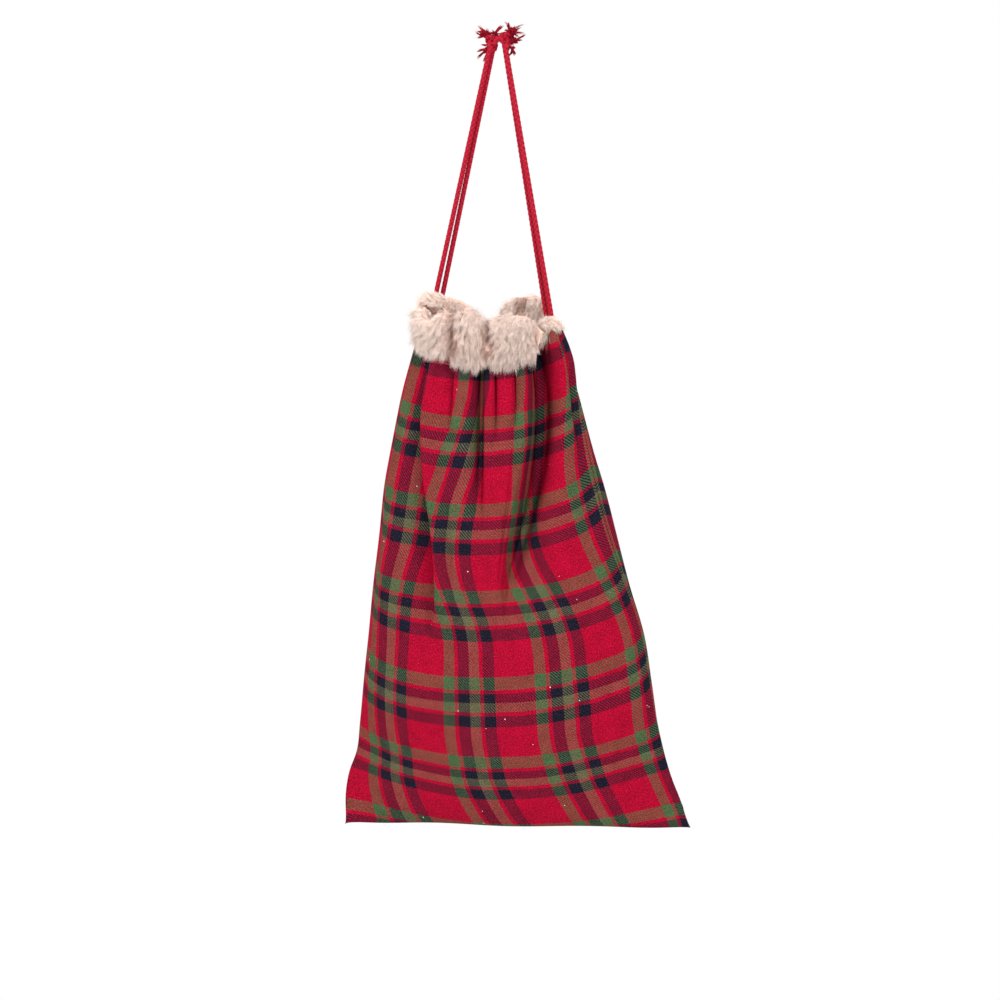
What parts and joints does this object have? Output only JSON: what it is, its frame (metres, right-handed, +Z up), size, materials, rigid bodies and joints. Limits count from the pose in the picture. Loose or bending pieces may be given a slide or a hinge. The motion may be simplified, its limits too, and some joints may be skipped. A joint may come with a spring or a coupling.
{
  "type": "drawstring gift sack",
  "caption": "Tartan drawstring gift sack with a folded fur collar and two knotted red cords that draw its mouth shut and hang it up.",
  "frame": {"origin": "hanging point, the fork just under the two knots where a hook or peg holds the sack", "axes": "+X to the sack's right as seen from the front, +Y towards its back, +Z up along the cords"},
  "size_m": [0.4099, 0.117, 0.9272],
  "materials": {
    "tartan": "brushed twill, matt",
    "seam": "raw cloth edge, overlocked",
    "fur": "soft short pile",
    "thread": "sewing thread",
    "cord": "twisted cotton cord, matt"
  },
  "bodies": {
    "sack": {"front_panel": "tartan", "back_panel": "tartan", "left_side_seam": "seam", "right_side_seam": "seam", "bottom_seam": "seam", "left_fur_tab": "fur", "right_fur_tab": "fur", "left_cord_turn": "cord", "right_cord_turn": "cord"},
    "front_mouth": {"front_fur_collar": "fur", "front_neck_stitching": "thread", "left_cord_front_run": "cord", "right_cord_front_run": "cord"},
    "back_mouth": {"back_fur_collar": "fur", "back_neck_stitching": "thread", "left_cord_back_run": "cord", "right_cord_back_run": "cord"},
    "left_strands": {"left_cord_front_strand": "cord", "left_cord_back_strand": "cord"},
    "left_knot": {"left_knot": "cord", "left_frayed_ends": "cord"},
    "right_strands": {"right_cord_front_strand": "cord", "right_cord_back_strand": "cord"},
    "right_knot": {"right_knot": "cord", "right_frayed_ends": "cord"}
  },
  "joints": [
    {"name": "front_mouth_fold", "type": "hinge", "parent": "sack", "child": "front_mouth", "pos_m": [-0.012, -0.044, -0.374], "axis": [1, 0, 0], "range_deg": [0, 25]},
    {"name": "back_mouth_fold", "type": "hinge", "parent": "sack", "child": "back_mouth", "pos_m": [-0.012, 0.044, -0.35], "axis": [-1, 0, 0], "range_deg": [0, 25]},
    {"name": "left_cord_swing", "type": "hinge", "parent": "sack", "child": "left_strands", "pos_m": [-0.0765, 0, -0.312], "axis": [0, -1, 0], "range_deg": [0, 90]},
    {"name": "left_cord_draw", "type": "slide", "parent": "left_strands", "child": "left_knot", "axis": [0.2174, 0, 0.9761], "range_m": [-0.19, 0], "deforming": ["left_cord_front_strand", "left_cord_back_strand"]},
    {"name": "right_cord_swing", "type": "hinge", "parent": "sack", "child": "right_strands", "pos_m": [0.0595, 0, -0.312], "axis": [0, 1, 0], "range_deg": [0, 90]},
    {"name": "right_cord_draw", "type": "slide", "parent": "right_strands", "child": "right_knot", "axis": [-0.1639, 0, 0.9865], "range_m": [-0.19, 0], "deforming": ["right_cord_front_strand", "right_cord_back_strand"]}
  ]
}
